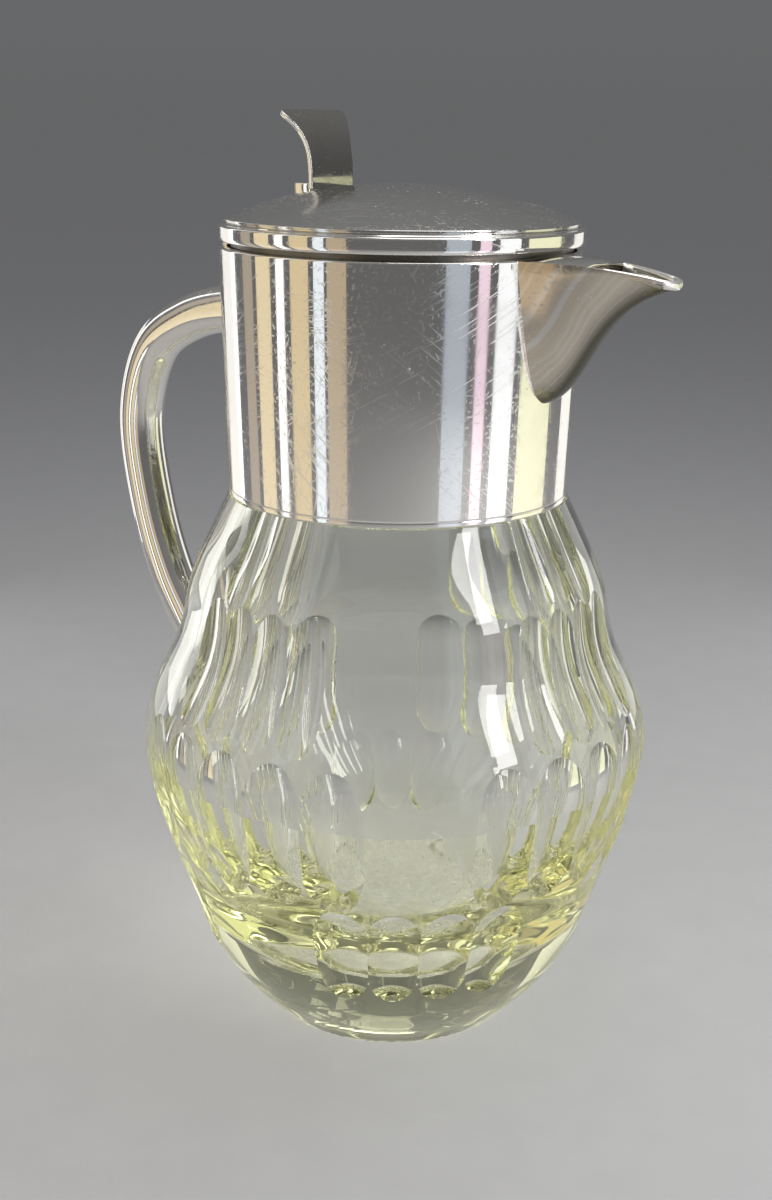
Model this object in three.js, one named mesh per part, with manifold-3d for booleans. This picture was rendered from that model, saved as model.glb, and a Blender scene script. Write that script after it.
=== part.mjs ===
// Covered water pitcher: a cut-glass body under a tall silver-plated collar with a
// pouring spout, a tubular handle and a hinged domed lid with a curved thumb-piece.
// Millimetres, +Z up. The origin is the centre of the flat base. The spout points
// along +X, and the handle and the lid's hinge are on the -X side.
import * as THREE from 'three';
import { LoftGeometry } from 'three/addons/geometries/LoftGeometry.js';
import { mergeVertices } from 'three/addons/utils/BufferGeometryUtils.js';
import Module from 'manifold-3d';

// ---------------------------------------------------------------- driving sizes
const gap = 0.3; // between pieces that touch

// glass body
const baseRadius = 37;
const bowlRadius = 56.6;
const bowlHeight = 32;
const bellyRadius = 69.6;
const bellyHeight = 78;
const waistRadius = 59.4;
const waistHeight = 109;
const shoulderRadius = 55.6;
const shoulderHeight = 125;
const glassWall = 6;
const floorThickness = 24; // in the middle; the hollow is rounded like a bowl
const floorFlatRadius = 24;
const floorFlareReach = 18; // the two handles of the curve from the floor up the wall
const floorFlareRise = 7;
const bowlLean = 7.2;
const neckWall = 4.5;

// collar
const collarBottom = 147.4;
const collarHeight = 64;
const collarTopRadius = 47.3;
const collarTaper = 1.9; // less radius at the bottom
const collarWall = 1.2;
const collarRimHeight = 1.3;
const collarRimWidth = 2.2;
const neckBelowSpout = 3.5; // the glass neck ends this far below the spout's root
const cementThickness = 2;

// spout
const spoutLength = 34.7; // collar to the tip of the lip
const spoutDepth = 36; // below the collar's top edge, at the root
const spoutRootHalfWidth = 13;
const spoutLipHalfWidth = 5;
const spoutLipLength = 5;
const spoutDrop = 3.6; // how far the lip lies below the collar's top edge
const spoutWall = 1.1;
const bridgeLength = 14;
const bridgeThickness = 0.9;
const bridgeArch = 0.9;

// handle
const handleTubeRadius = 6.7;
const handleStandOff = 29.7; // belly to the centre line of the tube, at its widest
const handleLeafClearance = 0.8; // below the hinge's leaf
const handleEndHeight = 90;
const handleEndClearance = 1.5; // to the belly
const handleCapThickness = 1.8;

// lid
const lidClearance = 1.5; // between the collar's top edge and the lid's band
const lidOverhang = 0.3; // of the lid's band past the collar
const lidBandHeight = 4.2;
const beadStep = 1.5; // from the band in to the bead
const beadWidth = 1.2;
const beadHeight = 1.4;
const domeRise = 8.3;
const lidSheet = 1.1;
const flangeThickness = 0.9;
const flangeClearance = 0.8;
const flangeDepth = 7;

// hinge
const barrelRadius = 2.4;
const pinRadius = 0.9;
const pinClearance = 0.15;
const outerKnuckleLength = 6.5;
const middleKnuckleLength = 10;
const knuckleGap = 0.4;
const leafThickness = 1.3;
const leafHeight = 12;
const leafDrop = 1.5; // below the collar's top edge
const bandToBarrel = 0.8;
const lidLeafHeight = 3.9;

// thumb-piece
const thumbRadius = 24.6; // axis of the lid to the foot of the thumb-piece
const thumbHeight = 19;
const thumbLean = 7.7;
const thumbThickness = 1.25;
const thumbBottomWidth = 17;
const thumbTopWidth = 27;
const footLength = 4.6;
const footThickness = 1.5;

// ---------------------------------------------------------------- derived sizes
const collarTop = collarBottom + collarHeight;
const collarBottomRadius = collarTopRadius - collarTaper;
const neckRadius = collarBottomRadius - collarWall - gap - cementThickness - gap;
const neckTop = collarTop - spoutDepth - neckBelowSpout;
const spoutReach = collarTopRadius + spoutLength;
const bridgeReach = collarTopRadius + bridgeLength;
const bandBottom = collarTop + lidClearance;
const bandTop = bandBottom + lidBandHeight;
const beadBottom = bandTop + gap;
const domeEdgeHeight = beadBottom + beadHeight;
const domeTop = domeEdgeHeight + domeRise;
const lidBandRadius = collarTopRadius + lidOverhang;
const beadRadius = lidBandRadius - beadStep;
const domeRadius = beadRadius - beadWidth;
const domeCurvature = (domeRadius ** 2 + domeRise ** 2) / (2 * domeRise);
const flangeRadius = collarTopRadius - collarRimWidth - flangeClearance;
const hingeX = -(lidBandRadius + barrelRadius + bandToBarrel);
const hingeZ = collarTop + lidClearance / 2;
const leafTop = collarTop - leafDrop;
const handleReach = bellyRadius + handleStandOff;
const handleTopHeight = leafTop - leafHeight - handleLeafClearance - handleTubeRadius;

const collarRadiusAt = (z) => {
  const share = (z - collarBottom) / collarHeight;
  return collarBottomRadius + share * (collarTopRadius - collarBottomRadius);
};

// ---------------------------------------------------------------- materials
const silver = (color, roughness) =>
  new THREE.MeshStandardMaterial({ color, roughness, metalness: 1 });
const collarSilver = () => silver(0xe6e2d8, 0.12);
const lidSilver = () => silver(0xcfccc4, 0.25);
const clearGlass = () =>
  new THREE.MeshStandardMaterial({
    color: 0xe4ecd0,
    roughness: 0.03,
    metalness: 0,
    transparent: true,
    opacity: 0.45,
  });
const plaster = () =>
  new THREE.MeshStandardMaterial({ color: 0xd8d2c2, roughness: 0.9, metalness: 0 });

// ---------------------------------------------------------------- helpers
const wasm = await Module();
wasm.setup();

// A closed mesh with shared vertices, as a solid that can be cut and joined.
function solidOf(geometry) {
  const bare = new THREE.BufferGeometry().copy(geometry);
  bare.deleteAttribute('normal');
  bare.deleteAttribute('uv');
  const merged = mergeVertices(bare, 1e-4);
  const mesh = new wasm.Mesh({
    numProp: 3,
    vertProperties: new Float32Array(merged.attributes.position.array),
    triVerts: new Uint32Array(merged.index.array),
  });
  return new wasm.Manifold(mesh);
}

function geometryOf(solid) {
  const mesh = solid.getMesh();
  const geometry = new THREE.BufferGeometry();
  geometry.setAttribute('position', new THREE.BufferAttribute(mesh.vertProperties, 3));
  geometry.setIndex(new THREE.BufferAttribute(mesh.triVerts, 1));
  geometry.computeVertexNormals();
  return geometry;
}

// Turns a profile of [radius, height] pairs about the Z axis. The pairs run
// counter-clockwise, and a ring's last pair repeats its first.
function turned(profile, segments = 48) {
  const points = profile.map(([radius, height]) => new THREE.Vector2(radius, height));
  return new THREE.LatheGeometry(points, segments).rotateX(Math.PI / 2);
}

function turnedRing(profile, segments = 48) {
  return turned([...profile, profile[0]], segments);
}

// A round bar along Y, centred on the given place.
function barAlongY(radius, length, x, y, z, segments = 20) {
  return new THREE.CylinderGeometry(radius, radius, length, segments).translate(x, y, z);
}

// A curved plate standing on the back of a round wall: the sector between two
// radii, centred on the -X side.
function backPlate(innerRadius, outerRadius, width, bottom, height) {
  const halfAngle = Math.asin(width / 2 / outerRadius);
  const shape = new THREE.Shape();
  shape.absarc(0, 0, outerRadius, Math.PI - halfAngle, Math.PI + halfAngle, false);
  shape.absarc(0, 0, innerRadius, Math.PI + halfAngle, Math.PI - halfAngle, true);
  const options = { depth: height, bevelEnabled: false, curveSegments: 8 };
  return new THREE.ExtrudeGeometry(shape, options).translate(0, 0, bottom);
}

// A cone frustum with the collar's outer surface grown by an offset.
function collarEnvelope(offset) {
  const below = collarBottom - 20;
  const above = collarTop + 20;
  return solidOf(
    turned([
      [0, below],
      [collarRadiusAt(below) + offset, below],
      [collarRadiusAt(above) + offset, above],
      [0, above],
    ]),
  );
}

const pitcher = new THREE.Group();
const lid = new THREE.Group();
pitcher.add(lid);

function place(group, name, geometry, material) {
  const mesh = new THREE.Mesh(geometry, material);
  mesh.name = name;
  group.add(mesh);
}

// ---------------------------------------------------------------- glass body
// The outer line runs from the base over the belly and the waist to the neck.
const glassOutline = new THREE.SplineCurve([
  new THREE.Vector2(baseRadius, 1),
  new THREE.Vector2((baseRadius + bowlRadius) / 2 + 1.8, bowlHeight * 0.46),
  new THREE.Vector2(bowlRadius, bowlHeight),
  new THREE.Vector2(bellyRadius, bellyHeight),
  new THREE.Vector2(waistRadius, waistHeight),
  new THREE.Vector2(shoulderRadius, shoulderHeight),
  new THREE.Vector2(collarBottomRadius, collarBottom - gap),
]);

function glassRadiusAt(height) {
  const points = glassOutline.getPoints(200);
  return points.find((p) => p.y >= height).x;
}

function glassBody() {
  const boreRadius = neckRadius - neckWall;
  const outer = glassOutline.getPoints(18).map((p) => [p.x, p.y]);
  // The hollow follows the outline at the wall's thickness down to the belly, and
  // from there it is rounded into the floor, so the lower wall is thicker.
  const bowlTop = bellyHeight - 4;
  const bowlTopRadius = glassRadiusAt(bowlTop) - glassWall;
  const bowl = new THREE.CubicBezierCurve(
    new THREE.Vector2(bowlTopRadius, bowlTop),
    new THREE.Vector2(bowlTopRadius - bowlLean, (floorThickness + bowlTop) / 2),
    new THREE.Vector2(floorFlatRadius + floorFlareReach, floorThickness + floorFlareRise),
    new THREE.Vector2(floorFlatRadius, floorThickness),
  );
  const inner = glassOutline
    .getPoints(14)
    .filter((p) => p.y > bowlTop + 2 && p.y < collarBottom - 8)
    .map((p) => [p.x - glassWall, p.y])
    .reverse();
  inner.push(...bowl.getPoints(8).map((p) => [p.x, p.y]));
  return turned(
    [
      [0, 0],
      [baseRadius - 1, 0],
      ...outer,
      [neckRadius, collarBottom - gap],
      [neckRadius, neckTop - 1],
      [neckRadius - 1, neckTop],
      [boreRadius + 1, neckTop],
      [boreRadius, neckTop - 1],
      [boreRadius, collarBottom - 4],
      ...inner,
      [0, floorThickness],
    ],
    56,
  );
}

// The setting ring fills the space between the glass neck and the collar.
function neckCementRing() {
  const inner = neckRadius + gap;
  const bottom = collarBottom + 1;
  const top = neckTop;
  const outerAt = (z) => collarRadiusAt(z) - collarWall - gap;
  return turnedRing([
    [inner, bottom],
    [outerAt(bottom), bottom],
    [outerAt(top), top],
    [inner, top],
  ]);
}

// ---------------------------------------------------------------- spout
// The keel is the lowest line of the spout, from inside the collar to the lip.
const keel = new THREE.CubicBezierCurve(
  new THREE.Vector2(collarTopRadius - 3.3, collarTop - spoutDepth),
  new THREE.Vector2(collarTopRadius + 10.7, collarTop - spoutDepth + 1.6),
  new THREE.Vector2(collarTopRadius + 8.7, collarTop - 11.4),
  new THREE.Vector2(spoutReach - 0.6, collarTop - spoutDrop - 0.7),
);

function spoutTopAt(x) {
  const share = Math.max(0, x - collarTopRadius) / (spoutReach - collarTopRadius);
  return collarTop - 0.2 - (spoutDrop - 0.2) * share ** 2;
}

function spoutHalfWidthAt(x) {
  const lipStart = spoutReach - spoutLipLength;
  const share = (Math.min(x, lipStart) - collarTopRadius) / (lipStart - collarTopRadius);
  const width = spoutRootHalfWidth + share * (spoutLipHalfWidth - spoutRootHalfWidth);
  const past = Math.max(0, x - lipStart) / (spoutLipLength + 0.1);
  return width * Math.sqrt(1 - Math.min(1, past) ** 2);
}

// A trough section: a parabola from the keel up to both top edges, closed on top.
function troughSection(x, keelHeight, halfWidth, top) {
  const steps = 14;
  const points = [];
  for (let i = 0; i <= steps; i += 1) {
    const u = (2 * i) / steps - 1;
    points.push(new THREE.Vector3(x, halfWidth * u, keelHeight + (top - keelHeight) * u * u));
  }
  return points;
}

// The outer trough, or the hollow in it when inset is the wall's thickness.
function spoutTrough(inset, rise, innerReach) {
  const sections = [];
  const start = keel.getPoint(0);
  const startWidth = spoutHalfWidthAt(start.x) - inset;
  const startTop = spoutTopAt(start.x) + rise;
  sections.push(troughSection(innerReach, start.y + inset, startWidth, startTop));
  const steps = 16;
  for (let i = 0; i <= steps; i += 1) {
    const at = keel.getPoint(i / steps);
    const along = keel.getTangent(i / steps);
    const x = at.x - along.y * inset;
    const z = at.y + along.x * inset;
    const halfWidth = Math.max(0.4, spoutHalfWidthAt(at.x) - inset);
    sections.push(troughSection(x, z, halfWidth, spoutTopAt(x) + rise));
  }
  return solidOf(new LoftGeometry(sections, { capStart: true, capEnd: true }));
}

const spoutHollow = spoutTrough(spoutWall, 4, collarTopRadius - 12);

function spoutShell() {
  const outer = spoutTrough(0, 0, collarTopRadius - 8);
  return geometryOf(outer.subtract(spoutHollow).subtract(collarEnvelope(gap)));
}

// The bridge is an arched plate between the spout's top edges, next to the collar.
function spoutBridge() {
  const steps = 10;
  const sections = [collarTopRadius - 4, bridgeReach].map((x) => {
    const halfWidth = spoutHalfWidthAt(x);
    const upper = [];
    const lower = [];
    for (let i = 0; i <= steps; i += 1) {
      const u = (2 * i) / steps - 1;
      const top = spoutTopAt(x) + bridgeArch * (1 - u * u);
      upper.unshift(new THREE.Vector3(x, halfWidth * u, top));
      lower.push(new THREE.Vector3(x, halfWidth * u, top - bridgeThickness));
    }
    return [...lower, ...upper];
  });
  const plate = solidOf(new LoftGeometry(sections, { capStart: true, capEnd: true }));
  const room = spoutTrough(spoutWall + gap, 4, collarTopRadius - 12);
  return geometryOf(plate.intersect(room).subtract(collarEnvelope(gap)));
}

// ---------------------------------------------------------------- collar
function collarBand() {
  const top = collarTop - collarRimHeight - gap;
  const band = solidOf(
    turnedRing(
      [
        [collarRadiusAt(collarBottom) - collarWall, collarBottom],
        [collarRadiusAt(collarBottom), collarBottom],
        [collarRadiusAt(top), top],
        [collarRadiusAt(top) - collarWall, top],
      ],
      96,
    ),
  );
  return geometryOf(band.subtract(spoutHollow));
}

function collarTopRim() {
  const bottom = collarTop - collarRimHeight;
  const bevel = 0.4;
  return turnedRing([
    [collarTopRadius - collarRimWidth, bottom],
    [collarTopRadius, bottom],
    [collarTopRadius, collarTop - bevel],
    [collarTopRadius - bevel, collarTop],
    [collarTopRadius - collarRimWidth, collarTop],
  ]);
}

// ---------------------------------------------------------------- handle
const handleEndRadius =
  glassRadiusAt(handleEndHeight) + handleTubeRadius + handleEndClearance;

// The tube leaves the collar level, turns down and runs in towards the belly.
const handlePath = new THREE.CatmullRomCurve3([
  new THREE.Vector3(-(collarTopRadius - 6), 0, handleTopHeight),
  new THREE.Vector3(-(collarTopRadius + 12), 0, handleTopHeight),
  new THREE.Vector3(-(handleReach - 22), 0, handleTopHeight - 4.2),
  new THREE.Vector3(-(handleReach - 7.5), 0, handleTopHeight - 13.5),
  new THREE.Vector3(-handleReach, 0, handleTopHeight - 34),
  new THREE.Vector3(-(handleReach - 4), 0, handleTopHeight - 63),
  new THREE.Vector3(-(handleReach - 12), 0, handleTopHeight - 84),
  new THREE.Vector3(-handleEndRadius, 0, handleEndHeight),
]);

function handleTube() {
  const section = new THREE.Shape();
  section.absarc(0, 0, handleTubeRadius, 0, 2 * Math.PI, false);
  const tube = new THREE.ExtrudeGeometry(section, {
    extrudePath: handlePath,
    steps: 30,
    curveSegments: 8,
    bevelEnabled: false,
  });
  return geometryOf(solidOf(tube).subtract(collarEnvelope(gap)));
}

// A shallow domed disc closes the tube's lower end.
function handleEndCap() {
  const round = 0.8;
  const disc = turned(
    [
      [0, gap],
      [handleTubeRadius, gap],
      [handleTubeRadius, gap + handleCapThickness - round],
      [handleTubeRadius - round, gap + handleCapThickness],
      [0, gap + handleCapThickness + 0.5],
    ],
    24,
  );
  const along = handlePath.getTangent(1);
  const end = handlePath.getPoint(1);
  const turn = new THREE.Quaternion().setFromUnitVectors(new THREE.Vector3(0, 0, 1), along);
  return disc.applyQuaternion(turn).translate(end.x, end.y, end.z);
}

// ---------------------------------------------------------------- hinge
const middleHalf = middleKnuckleLength / 2;
const outerKnuckleY = middleHalf + knuckleGap + outerKnuckleLength / 2;
const hingeLength = middleKnuckleLength + 2 * (knuckleGap + outerKnuckleLength);

const pinHole = solidOf(
  barAlongY(pinRadius + pinClearance, hingeLength + 2, hingeX, 0, hingeZ),
);

// Two outer knuckles stand on a curved leaf on the back of the collar.
function hingeCollarLeaf() {
  const inner = collarTopRadius + gap;
  const outer = inner + leafThickness;
  let solid = solidOf(backPlate(inner, outer, hingeLength, leafTop - leafHeight, leafHeight));
  for (const side of [-1, 1]) {
    const y = side * outerKnuckleY;
    const barrel = solidOf(barAlongY(barrelRadius, outerKnuckleLength, hingeX, y, hingeZ));
    const webThickness = 2.2;
    const webHeight = hingeZ - leafTop + 3;
    const web = new THREE.BoxGeometry(webThickness, outerKnuckleLength, webHeight);
    web.translate(-(outer + 0.1), y, hingeZ - webHeight / 2);
    solid = solid.add(barrel).add(solidOf(web));
  }
  const wall = collarEnvelope(gap);
  return geometryOf(solid.subtract(pinHole).subtract(wall));
}

// The middle knuckle hangs on a small leaf on the back of the lid's band.
function hingeLidLeaf() {
  const inner = lidBandRadius + gap;
  const width = middleKnuckleLength;
  const leaf = solidOf(
    backPlate(inner, inner + leafThickness, width, bandBottom, lidLeafHeight),
  );
  const knuckle = barAlongY(barrelRadius, middleKnuckleLength, hingeX, 0, hingeZ);
  const clear = turned([
    [0, bandBottom - 6],
    [inner, bandBottom - 6],
    [inner, bandTop],
    [0, bandTop],
  ]);
  return geometryOf(leaf.add(solidOf(knuckle)).subtract(pinHole).subtract(solidOf(clear)));
}

function hingePin() {
  return barAlongY(pinRadius, hingeLength, hingeX, 0, hingeZ);
}

// ---------------------------------------------------------------- lid
function lidRimBand() {
  const bevel = 0.5;
  const inner = flangeRadius + gap;
  return turnedRing([
    [inner, bandBottom],
    [lidBandRadius - bevel, bandBottom],
    [lidBandRadius, bandBottom + bevel],
    [lidBandRadius, bandTop - bevel],
    [lidBandRadius - bevel, bandTop],
    [inner, bandTop],
  ]);
}

// The dome is a shallow spherical shell with a bead around its edge.
function domeHeightAt(radius) {
  return domeTop - domeCurvature + Math.sqrt(domeCurvature ** 2 - radius ** 2);
}

function lidDome() {
  const steps = 6;
  const outer = [];
  const inner = [];
  const innerRadius = flangeRadius - flangeThickness - gap;
  for (let i = 0; i <= steps; i += 1) {
    const share = i / steps;
    outer.push([domeRadius * (1 - share), domeHeightAt(domeRadius * (1 - share))]);
    inner.push([innerRadius * share, domeHeightAt(innerRadius * share) - lidSheet]);
  }
  const bevel = 0.4;
  return turned([
    ...inner,
    [innerRadius, beadBottom],
    [beadRadius - bevel, beadBottom],
    [beadRadius, beadBottom + bevel],
    [beadRadius, domeEdgeHeight - bevel],
    [beadRadius - bevel, domeEdgeHeight],
    ...outer,
  ]);
}

// The flange is the plain ring under the lid that drops inside the collar.
function lidInnerFlange() {
  const outer = flangeRadius;
  const inner = outer - flangeThickness;
  const bottom = collarTop - flangeDepth;
  const top = beadBottom - gap;
  return turnedRing([
    [inner, bottom],
    [outer, bottom],
    [outer, top],
    [inner, top],
  ]);
}

// ---------------------------------------------------------------- thumb-piece
// Seen from the side the plate rises from the dome and leans back over the hinge;
// seen from the front it flares like a fan with round upper corners.
const thumbBottom = domeHeightAt(thumbRadius) + gap;

function thumbPiece() {
  const side = new THREE.Shape();
  const top = thumbBottom + thumbHeight;
  side.moveTo(thumbRadius, thumbBottom);
  side.bezierCurveTo(
    thumbRadius,
    thumbBottom + thumbHeight * 0.45,
    thumbRadius + thumbLean * 0.25,
    thumbBottom + thumbHeight * 0.8,
    thumbRadius + thumbLean,
    top,
  );
  side.lineTo(thumbRadius + thumbLean - 0.9 * thumbThickness, top + 0.8 * thumbThickness);
  side.bezierCurveTo(
    thumbRadius + thumbLean * 0.12 - thumbThickness,
    thumbBottom + thumbHeight * 0.84,
    thumbRadius - thumbThickness,
    thumbBottom + thumbHeight * 0.5,
    thumbRadius - thumbThickness,
    thumbBottom,
  );
  const strip = new THREE.ExtrudeGeometry(side, {
    depth: thumbTopWidth,
    bevelEnabled: false,
    curveSegments: 12,
  });
  // The side view is drawn with the radius to the right; turned, it points to -X.
  strip.translate(0, 0, -thumbTopWidth / 2).rotateX(Math.PI / 2).rotateZ(Math.PI);

  const fan = new THREE.Shape();
  const corner = 3;
  const fanTop = thumbHeight + thumbThickness;
  fan.moveTo(-thumbBottomWidth / 2, -2);
  fan.lineTo(thumbBottomWidth / 2, -2);
  fan.lineTo(thumbBottomWidth / 2, thumbHeight * 0.4);
  fan.quadraticCurveTo(
    thumbBottomWidth / 2 + 0.6,
    thumbHeight * 0.75,
    thumbTopWidth / 2,
    fanTop - corner,
  );
  fan.quadraticCurveTo(thumbTopWidth / 2, fanTop, thumbTopWidth / 2 - corner, fanTop);
  fan.lineTo(-thumbTopWidth / 2 + corner, fanTop);
  fan.quadraticCurveTo(-thumbTopWidth / 2, fanTop, -thumbTopWidth / 2, fanTop - corner);
  fan.quadraticCurveTo(
    -thumbBottomWidth / 2 - 0.6,
    thumbHeight * 0.75,
    -thumbBottomWidth / 2,
    thumbHeight * 0.4,
  );
  const reach = thumbLean + 20;
  const outline = new THREE.ExtrudeGeometry(fan, {
    depth: reach,
    bevelEnabled: false,
    curveSegments: 8,
  });
  outline.rotateX(Math.PI / 2).rotateZ(-Math.PI / 2);
  outline.translate(-(thumbRadius - 8), 0, thumbBottom);
  const plate = solidOf(strip).intersect(solidOf(outline));
  return geometryOf(plate.subtract(domeEnvelope(gap)));
}

// The solid under the dome's outer surface, grown by an offset.
function domeEnvelope(offset) {
  const steps = 10;
  const profile = [[0, domeEdgeHeight - 4], [domeRadius, domeEdgeHeight - 4]];
  for (let i = 0; i <= steps; i += 1) {
    const radius = domeRadius * (1 - i / steps);
    profile.push([radius, domeHeightAt(radius) + offset]);
  }
  return solidOf(turned(profile));
}

// The foot is a short plate behind the thumb-piece, seated on the dome.
function thumbPieceFoot() {
  const top = thumbBottom + footThickness;
  const height = footThickness + 2;
  const foot = new THREE.BoxGeometry(footLength, thumbBottomWidth, height);
  foot.translate(-(thumbRadius + gap + footLength / 2), 0, top - height / 2);
  return geometryOf(solidOf(foot).subtract(domeEnvelope(gap)));
}

// ---------------------------------------------------------------- assembly
place(pitcher, 'glass_body', glassBody(), clearGlass());
place(pitcher, 'neck_cement_ring', neckCementRing(), plaster());
place(pitcher, 'collar_band', collarBand(), collarSilver());
place(pitcher, 'collar_top_rim', collarTopRim(), collarSilver());
place(pitcher, 'spout_shell', spoutShell(), collarSilver());
place(pitcher, 'spout_bridge', spoutBridge(), collarSilver());
place(pitcher, 'handle_tube', handleTube(), collarSilver());
place(pitcher, 'handle_end_cap', handleEndCap(), collarSilver());
place(pitcher, 'hinge_collar_leaf', hingeCollarLeaf(), collarSilver());
place(pitcher, 'hinge_pin', hingePin(), collarSilver());
place(lid, 'hinge_lid_leaf', hingeLidLeaf(), lidSilver());
place(lid, 'lid_rim_band', lidRimBand(), lidSilver());
place(lid, 'lid_dome', lidDome(), lidSilver());
place(lid, 'lid_inner_flange', lidInnerFlange(), lidSilver());
place(lid, 'thumb_piece', thumbPiece(), lidSilver());
place(lid, 'thumb_piece_foot', thumbPieceFoot(), lidSilver());

export default pitcher;
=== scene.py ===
"""Covered water pitcher: cut-glass body, silver-plated collar, spout, handle and lid.

Lengths in the code are millimetres until a mesh is made, and metres after that.
The spout points along +X, the handle and the hinge are at -X, and +Z is up.
"""

import math

import bmesh
import bpy
from mathutils import Matrix, Vector


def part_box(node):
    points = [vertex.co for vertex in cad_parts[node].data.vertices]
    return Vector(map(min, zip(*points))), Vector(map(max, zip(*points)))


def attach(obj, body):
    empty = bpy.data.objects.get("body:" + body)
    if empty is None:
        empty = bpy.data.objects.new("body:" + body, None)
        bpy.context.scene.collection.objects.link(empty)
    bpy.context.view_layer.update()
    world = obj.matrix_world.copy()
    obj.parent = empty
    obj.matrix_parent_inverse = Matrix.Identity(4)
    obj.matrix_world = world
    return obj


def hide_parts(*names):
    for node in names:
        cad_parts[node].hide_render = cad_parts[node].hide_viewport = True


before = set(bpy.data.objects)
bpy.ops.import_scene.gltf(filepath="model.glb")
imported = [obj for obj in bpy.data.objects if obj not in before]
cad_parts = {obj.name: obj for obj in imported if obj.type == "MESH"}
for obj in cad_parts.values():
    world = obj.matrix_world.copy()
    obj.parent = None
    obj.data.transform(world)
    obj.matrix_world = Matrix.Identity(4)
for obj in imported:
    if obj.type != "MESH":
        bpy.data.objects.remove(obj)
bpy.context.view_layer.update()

MM = 0.001


# ------------------------------------------------------------------ sizes
def corners(node):
    """The lowest and highest corner of a CAD node, in millimetres."""
    lo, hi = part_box(node)
    return lo / MM, hi / MM


rim_hi = corners("collar_top_rim")[1]
band_lo = corners("collar_band")[0]
lid_band_lo, lid_band_hi = corners("lid_rim_band")
dome_lo, dome_hi = corners("lid_dome")
flange_lo, flange_hi = corners("lid_inner_flange")
thumb_lo, thumb_hi = corners("thumb_piece")
foot_lo, foot_hi = corners("thumb_piece_foot")
spout_hi = corners("spout_shell")[1]
bridge_hi = corners("spout_bridge")[1]
tube_lo, tube_hi = corners("handle_tube")
pin_lo, pin_hi = corners("hinge_pin")
leaf_lo = corners("hinge_collar_leaf")[0]
glass_hi = corners("glass_body")[1]

GAP = 0.3

# collar
COLLAR_TOP = rim_hi.z
COLLAR_BOTTOM = band_lo.z
COLLAR_TOP_RADIUS = rim_hi.y
COLLAR_TAPER = 1.9
COLLAR_WALL = 1.2
COLLAR_BOTTOM_RADIUS = COLLAR_TOP_RADIUS - COLLAR_TAPER

# glass
BASE_RADIUS = 37.0
BOWL_RADIUS = 56.6
BOWL_HEIGHT = 32.0
BELLY_RADIUS = glass_hi.y
BELLY_HEIGHT = 78.0
WAIST_RADIUS = 59.4
WAIST_HEIGHT = 109.0
SHOULDER_RADIUS = 55.6
SHOULDER_HEIGHT = 125.0
GLASS_WALL = 6.0
FLOOR_THICKNESS = 24.0
FLOOR_FLAT_RADIUS = 24.0
FLOOR_STEP = 1.6
NECK_RADIUS = COLLAR_BOTTOM_RADIUS - COLLAR_WALL - 2 * GAP - 2.0
NECK_WALL = 4.5
NECK_TOP = glass_hi.z

# spout
SPOUT_REACH = COLLAR_TOP_RADIUS + 34.7
SPOUT_DEPTH = 36.0
SPOUT_ROOT_HALF_WIDTH = 13.0
SPOUT_LIP_HALF_WIDTH = 5.0
SPOUT_LIP_LENGTH = 5.0
SPOUT_DROP = 3.6
SPOUT_WALL = 1.0
BRIDGE_REACH = bridge_hi.x
BRIDGE_THICKNESS = 0.9
BRIDGE_ARCH = 0.9

# handle
HANDLE_RADIUS = (tube_hi.y - tube_lo.y) / 2
HANDLE_REACH = -tube_lo.x - HANDLE_RADIUS - 0.3
HANDLE_TOP = tube_hi.z - HANDLE_RADIUS

# lid
LID_BAND_RADIUS = lid_band_hi.y
BEAD_RADIUS = dome_hi.y
DOME_RADIUS = BEAD_RADIUS - 1.2
DOME_TOP = dome_hi.z
DOME_EDGE = dome_lo.z + 1.4
LID_SHEET = 1.1

# thumb-piece
THUMB_RADIUS = -thumb_hi.x + 1.25
THUMB_THICKNESS = 1.25
THUMB_BOTTOM = thumb_lo.z


def collar_radius_at(z):
    share = (z - COLLAR_BOTTOM) / (COLLAR_TOP - COLLAR_BOTTOM)
    return COLLAR_BOTTOM_RADIUS + share * COLLAR_TAPER


# ------------------------------------------------------------------ mesh helpers
def mesh_of(name, points, faces):
    """A mesh in metres from points in millimetres."""
    mesh = bpy.data.meshes.new(name)
    mesh.from_pydata([Vector(p) * MM for p in points], [], faces)
    mesh.validate()
    build = bmesh.new()
    build.from_mesh(mesh)
    bmesh.ops.remove_doubles(build, verts=build.verts, dist=1e-7)
    bmesh.ops.recalc_face_normals(build, faces=build.faces)
    build.to_mesh(mesh)
    build.free()
    return mesh


def object_of(name, mesh):
    piece = bpy.data.objects.new(name, mesh)
    bpy.context.scene.collection.objects.link(piece)
    return piece


def bake_modifiers(piece):
    """Applies the modifiers to the piece's own mesh."""
    depsgraph = bpy.context.evaluated_depsgraph_get()
    result = bpy.data.meshes.new_from_object(piece.evaluated_get(depsgraph))
    piece.modifiers.clear()
    old = piece.data
    piece.data = result
    bpy.data.meshes.remove(old)


def shade(piece, degrees):
    """Smooth shading, with a crease wherever faces meet at more than the angle."""
    piece.data.shade_smooth()
    piece.data.set_sharp_from_angle(angle=math.radians(degrees))


def bevel(piece, width, segments=2, degrees=35):
    step = piece.modifiers.new("bevel", "BEVEL")
    step.width = width * MM
    step.segments = segments
    step.limit_method = "ANGLE"
    step.angle_limit = math.radians(degrees)
    bake_modifiers(piece)


def cut(piece, tool):
    """Cuts the tool's shape out of the piece and deletes the tool."""
    step = piece.modifiers.new("cut", "BOOLEAN")
    step.operation = "DIFFERENCE"
    step.solver = "MANIFOLD"
    step.object = tool
    bake_modifiers(piece)
    bpy.data.objects.remove(tool)


def join_to(piece, tool):
    """Joins the tool's shape to the piece and deletes the tool."""
    step = piece.modifiers.new("join", "BOOLEAN")
    step.operation = "UNION"
    step.solver = "MANIFOLD"
    step.object = tool
    bake_modifiers(piece)
    bpy.data.objects.remove(tool)


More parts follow.
